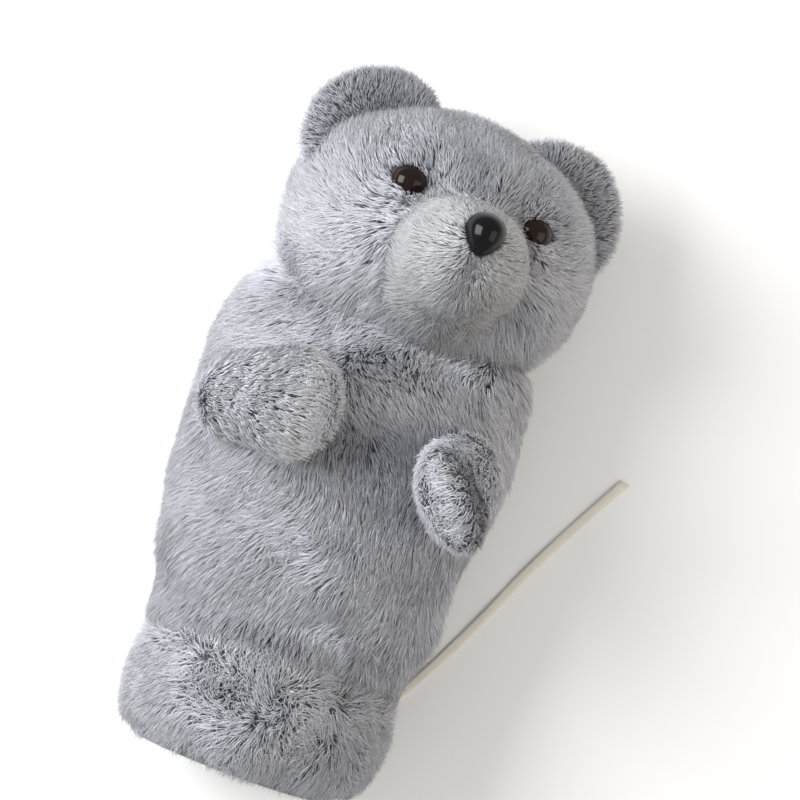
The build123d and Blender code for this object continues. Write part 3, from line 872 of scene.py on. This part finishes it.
def ear_coat(sign, front):
    """The coat of one face of an ear."""
    out = ear_way(sign)

    def coat(root, normal):
        """Short dark nap towards the rim in front, darkest in the hollow as painted shade, and long pale nap
        over the rim and behind, a little paler at the rim.
        """
        n = len(root)
        local = to_head(root) - out * EAR_OUT
        radial = np.stack([local[:, 0], local[:, 1], np.zeros(n)], -1)
        lay = unit(radial + out * 16) @ HEAD_AXES
        rim = ease(15, 25, np.hypot(local[:, 0], local[:, 1]))
        if front:
            # painted shade: the front is darker in its hollow than at its rim
            return lay, 4.5 + 2.0 * rim, np.full(n, 0.55), np.full(n, 0.46), 0.48 + 0.28 * rim
        return lay, np.full(n, 7.5), np.full(n, 0.5), np.full(n, 0.52), 0.64 + 0.10 * rim

    return coat


# ---------------------------------------------------------------- arms and neck

# How far from the arm's root to its tip, half the width, half the thickness, then how far it reaches.
ARM_ROWS = (
    (0, 0.8, 0.7, -15), (0.06, 8, 7, -14), (0.14, 13, 11.5, -10), (0.28, 15.5, 12.5, -1), (0.45, 17, 12, 11),
    (0.62, 19.5, 12.5, 22), (0.77, 18.5, 11.5, 32), (0.89, 13.5, 8.5, 39), (0.96, 7, 4.5, 41.8),
    (1, 0.8, 0.6, 42.5),
)


ARM_ROLL = {"left": math.radians(34), "right": 0.0}  # how far the paw's palm has turned about its reach
# How far the cloth of each paw has sunk from the reach of its joint.
ARM_DROOP = {"left": np.array([6.0, -2.0, -1.0]), "right": np.array([7.5, -3.0, -1.0])}
ARM_BLEND = (-8.0, 12.0)  # two places along an arm's reach, about its root


def arm_axes(side):
    """Along the arm, across it towards the head, and out of its fur side: the last two turn by its roll."""
    reach = unit(ARMS[side][1])
    across = unit(np.array([0, 1.0, 0]) - reach * reach[1])
    outer = np.cross(reach, across)
    cos, sin = math.cos(ARM_ROLL[side]), math.sin(ARM_ROLL[side])
    return reach, across * cos + outer * sin, outer * cos - across * sin


def arm_grid(side, rows=52, around=72):
    """An arm's skin, ovals from its root inside the torso to the rounded paw, with a hollow palm."""
    reach, across, outer = arm_axes(side)
    size = curve(np.linspace(0, 1, rows), ARM_ROWS)
    turn = full_turn(around)
    wide, thick, far = (size[:, k, None] for k in range(3))
    flat = np.where(np.sin(turn) < 0, 0.72, 1.0)
    a, b = wide * np.cos(turn), thick * np.sin(turn) * flat
    far = far + 0 * turn
    b = b + 3.0 * bump(far, 24, 11) * bump(a, 0, 9) * (np.sin(turn) < 0)
    bend = 3.0 * ease(5, 41, far) ** 2
    grid = ARMS[side][0] + far[..., None] * reach + a[..., None] * across + (b - bend)[..., None] * outer
    grid = grid + ease(-8, 44, far)[..., None] * ARM_DROOP[side]
    return grid + noise(grid, 14, 9.1) * 0.8


def arm_coat(side):
    """The coat of one arm."""
    reach, across, outer = arm_axes(side)

    def coat(root, normal):
        """Long nap to the paw's tip, painted paler towards the tip as light on the raised paw, and short
        darker nap in the palm.
        """
        n = len(root)
        local = root - ARMS[side][0]
        a, b, far = local @ across, local @ outer, local @ reach
        palm = ease(0.25, 0.75, -(normal @ outer)) * ease(12, 18, far) * ease(40, 33, far)
        lay = np.tile(reach, (n, 1)) + 0.5 * across * (a / 15)[:, None]
        # painted light: paler towards the paw's raised tip
        tone_and_painted_light = 0.66 - 0.44 * palm + 0.12 * ease(20, 38, far)
        return lay, 10.0 - 5.0 * palm, 0.36 + 0.2 * palm, np.full(n, 0.56), tone_and_painted_light

    return coat


def neck_grid(rows=48, around=72):
    """The neck's ball, its poles along the body, a little inside the designed one."""
    lean = np.linspace(0.04, math.pi - 0.04, rows)[:, None]
    turn = full_turn(around)
    ring = np.sin(lean)
    ball = np.stack([ring * np.cos(turn), -np.cos(lean) + 0 * turn, -ring * np.sin(turn)], -1)
    return NECK + (NECK_R - 1.0) * ball


def neck_coat(root, normal):
    """Even nap to the hem."""
    n = len(root)
    lay = np.tile(np.array([0, -1.0, 0]), (n, 1))
    return lay, np.full(n, 8.0), np.full(n, 0.6), np.full(n, 0.6), np.full(n, 0.42)


# ---------------------------------------------------------------- ribbon, lining and buttons

RIBBON_WIDTH = 4.2
RIBBON_THICK = 0.6
RIBBON_ROUTE = ((34, 18), (58, 52), (79, 94), (97, 137), (120, 179))
RIBBON_SLANT = 1.6  # how much longer one edge is at the cut end
# Across the strip and up through it, in widths and thicknesses: flat, with round selvedges.
RIBBON_SECTION = np.array([
    (-0.5, 0), (-0.47, 0.42), (-0.2, 0.5), (0.2, 0.5), (0.47, 0.42), (0.5, 0), (0.47, -0.42), (0, -0.5),
    (-0.47, -0.42),
])


def smooth_route(route, height):
    """The points of a NURBS line through a route, in millimetres."""
    line = bpy.data.curves.new("route", "CURVE")
    line.dimensions = "3D"
    line.resolution_u = 16
    spline = line.splines.new("NURBS")
    spline.points.add(len(route) - 1)
    for point, (x, y) in zip(spline.points, route):
        point.co = (x, y, height, 1)
    spline.order_u = 3
    spline.use_endpoint_u = True
    holder = bpy.data.objects.new("route", line)
    mesh = bpy.data.meshes.new_from_object(holder)
    points = np.array([v.co for v in mesh.vertices])
    bpy.data.objects.remove(holder)
    bpy.data.meshes.remove(mesh)
    return points


def grid_map(across, up):
    """A map for a grid of points: one number that runs around it, and one that runs along its rows."""
    shape = (len(up), len(across))
    both = np.broadcast_to(across, shape), np.broadcast_to(up[:, None], shape)
    return np.stack(both, -1).reshape(-1, 2)


def make_ribbon(finish):
    """A flat strip with rounded selvedges along its route, with slow ripples across it, and a slanting
    cut end."""
    middle = smooth_route(RIBBON_ROUTE, TABLE + RIBBON_THICK / 2)
    run = unit(np.gradient(middle, axis=0))
    side = np.stack([run[:, 1], -run[:, 0], np.zeros(len(run))], -1)
    far = np.concatenate([[0], np.cumsum(np.linalg.norm(np.diff(middle, axis=0), axis=-1))])
    out, up = RIBBON_SECTION.T
    ripple = 0.5 * (1 + np.sin(far / 6.5 + 1.2 * np.sin(far / 17)))
    crown = np.where(up > 0.3, 0.55, 0.0)[None] * ripple[:, None] * (1 - np.abs(out[None]))
    grid = middle[:, None] + side[:, None] * (out[None, :, None] * RIBBON_WIDTH)
    grid[..., 2] += up[None] * RIBBON_THICK + crown * 0.8
    grid[-1] += run[-1] * (out[:, None] * RIBBON_SLANT)

    around = len(out)
    faces = grid_faces(len(middle), around)[:, ::-1]
    last_row = (len(middle) - 1) * around
    ends = []
    for start, order in ((0, 1), (last_row, -1)):
        ring = (start + np.arange(around))[::order]
        ends.append(np.stack([np.full(around - 2, ring[0]), ring[1:-1], ring[2:]], -1))
    triangles = np.concatenate([faces[:, [0, 1, 2]], faces[:, [0, 2, 3]], *ends])
    uv = grid_map(np.arange(around) / around, far)[triangles.ravel()]
    ribbon = make_piece("ribbon", grid.reshape(-1, 3), triangles, finish, "torso", uv)
    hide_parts("ribbon_strap")


LINING_AROUND = 160
LINING_THICK = 0.5
# How far from the hem's channel into the glove, half the width, half the depth, then the height.
LINING_ROWS = (
    (0, 41.2, 40.9, 4.0), (0.04, 40.7, 40.7, 1.0), (0.08, 40.2, 40.2, 4.0), (0.20, 40.1, 40.1, 16),
    (0.42, 40.3, 40.2, 40), (0.52, 41.5, 38.0, 52), (0.62, 45, 36.5, 70), (0.8, 49.5, 38.0, 110),
    (1, 52, 37.5, 150),
)


def make_lining(finish):
    """The cloth inside: a tube from the hem's channel up the cuff and on into the glove, gathered a
    little by the elastic. It is one sheet with two faces a little apart."""
    rows = np.linspace(0, 1, 80)
    size = curve(rows, LINING_ROWS)
    turn = full_turn(LINING_AROUND)
    half_x, half_z, height = (size[:, k, None] for k in range(3))
    gather = 0.55 * np.sin(turn * 26 + 2 * np.sin(turn * 5)) * bump(height, 12, 7)
    x, z = (half_x + gather) * np.cos(turn), (half_z + gather) * np.sin(turn)
    inner = np.stack([x, height + 0 * turn, z], -1)
    level = np.array([1, 0, 1])
    inner = inner + noise(inner, 24, 7.7) * level * (0.9 * ease(56, 90, inner[..., 1]))[..., None]
    outer = inner + unit(inner * level) * LINING_THICK
    grid = np.concatenate([inner, outer[::-1]])
    faces = grid_faces(len(grid) + 1, LINING_AROUND) % grid[..., 0].size
    uv = grid_map(np.arange(LINING_AROUND) / LINING_AROUND, np.concatenate([rows, rows[::-1]]))
    points = grid.reshape(-1, 3)
    lining = make_piece("hand_lining", points, faces, finish, "torso", uv[faces.ravel()])
    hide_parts("cuff_facing", "glove_lining")


def make_nose(finish):
    """A glossy dome on an egg outline, broad above and narrow below: rows from the middle of its front
    fall back over a rounded edge to the fur."""
    turn = -full_turn(64)
    fall = np.linspace(0.02, 1, 28)[:, None] * math.radians(112)
    x = 8.3 * np.sin(fall) * np.cos(turn) * (1 + 0.26 * np.sin(turn) * np.sin(fall))
    y = 9.4 * np.sin(fall) * np.sin(turn) - 0.8
    z = 7.6 * np.cos(fall) + 0 * turn - 0.02 * (x**2 + y**2)
    cos, sin = math.cos(NOSE_PITCH), math.sin(NOSE_PITCH)
    pitch = np.array([[1, 0, 0], [0, cos, -sin], [0, sin, cos]])
    grid = from_head(np.stack([x, y, z], -1) @ pitch + NOSE_AT + np.array([0, 0, 1.0]))
    nose = closed_skin("nose_button", grid, finish, "head")
    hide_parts("nose")


# ---------------------------------------------------------------- the puppet

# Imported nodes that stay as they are, and their finishes.
KEPT_NODES = {
    "wrist_elastic": "elastic", "head_stuffing": "fibre", "muzzle_stuffing": "fibre",
    "eye_left": "eye", "eye_right": "eye",
    "eye_washer_left": "washer", "eye_washer_right": "washer", "nose_washer": "washer",
    "head_finger_pocket": "lining", "arm_left_pocket": "lining", "arm_right_pocket": "lining",
}


def repaint(node, finish):
    """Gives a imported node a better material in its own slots."""
    data = frame["nodes"][node].data
    data.materials.clear()
    data.materials.append(finish)


def make_torso():
    """The torso's skin and its pile, in four pieces."""
    grid = torso_grid()
    skin = closed_skin("torso_skin", grid, FINISH["ground"], "torso")
    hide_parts("belly_panel", "back_panel")
    grow("torso_pile", "torso", grid, torso_coat, "long_fur", per_mm2=2.0, seed=21, bare=back_bare, count=4)


def make_cuff():
    """The cuff's skin, which closes on itself both ways, and its pile."""
    grid = cuff_grid()
    faces = grid_faces(len(grid) + 1, grid.shape[1]) % grid[..., 0].size
    skin = make_piece("cuff_skin", grid.reshape(-1, 3), faces, FINISH["ground"], "torso")
    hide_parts("cuff_band")
    grow("cuff_pile", "torso", grid, cuff_coat, "long_fur", per_mm2=2.0, seed=22, bare=cuff_bare, count=2)


def make_neck():
    """The neck's skin and its thin pile."""
    grid = neck_grid()
    skin = closed_skin("neck_skin", grid, FINISH["ground"], "neck")
    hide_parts("neck_sleeve")
    grow("neck_pile", "neck", grid, neck_coat, "long_fur", per_mm2=0.6, seed=23)


def make_head():
    """The stuffed head's skin and its pile."""
    grid = head_grid()
    skin = closed_skin("head_skin", grid, FINISH["ground"], "head")
    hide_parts("cheek_left", "cheek_right", "forehead_gusset", "throat_gusset", "head_back_panel")
    grow("head_pile", "head", grid, head_coat, "long_fur", per_mm2=2.2, seed=24, bare=head_bare, count=3)


def make_muzzle():
    """The stuffed muzzle's skin and its short, close pile."""
    grid = muzzle_grid()
    skin = closed_skin("muzzle_skin", grid, FINISH["ground"], "head")
    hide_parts("muzzle_left", "muzzle_right", "chin_panel")
    grow(
        "muzzle_pile", "head", grid, muzzle_coat, "pale_fur", per_mm2=3.4, seed=25, bare=muzzle_bare,
        tuft=3.5, gather=0.25,
    )


def make_ear(side, sign):
    """An ear's skin, its front's short pile, and its back's long pile, which starts in front of the rim."""
    grid = ear_grid(sign)
    rim_row = len(grid) // 2
    skin = closed_skin(f"ear_{side}", grid, FINISH["ground"], "head")
    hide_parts(f"ear_front_{side}", f"ear_back_{side}")
    front, back = ear_coat(sign, front=True), ear_coat(sign, front=False)
    grow(
        f"ear_{side}_front_pile", "head", grid[: rim_row + 1], front, "short_fur", per_mm2=2.2,
        seed=26 + sign, tuft=4.0,
    )
    grow(
        f"ear_{side}_back_pile", "head", grid[rim_row - 4 :], back, "long_fur", per_mm2=1.8,
        seed=30 + sign,
    )


def make_arm(side, sign):
    """An arm's skin and pile, moved into the puppet's frame."""
    grid = arm_grid(side)
    skin = closed_skin(f"arm_{side}_skin", grid, FINISH["ground"], None)
    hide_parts(f"arm_{side}_outer", f"arm_{side}_palm")
    pile = grow(f"arm_{side}_pile", None, grid, arm_coat(side), "long_fur", per_mm2=2.0, seed=40 + sign)
    root, reach = ARMS[side][0], unit(ARMS[side][1])
    start, end = (tuple((root + far * reach) * MM) for far in ARM_BLEND)
    for piece in (skin, *pile):
        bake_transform(piece)


make_camera()
make_studio()
FINISH = make_finishes()
for node, finish in KEPT_NODES.items():
    repaint(node, FINISH[finish])

make_ribbon(FINISH["satin"])
make_lining(FINISH["lining"])
make_nose(FINISH["nose"])
make_torso()
make_cuff()
make_neck()
make_head()
make_muzzle()
for side, sign in (("left", 1), ("right", -1)):
    make_ear(side, sign)
    make_arm(side, sign)
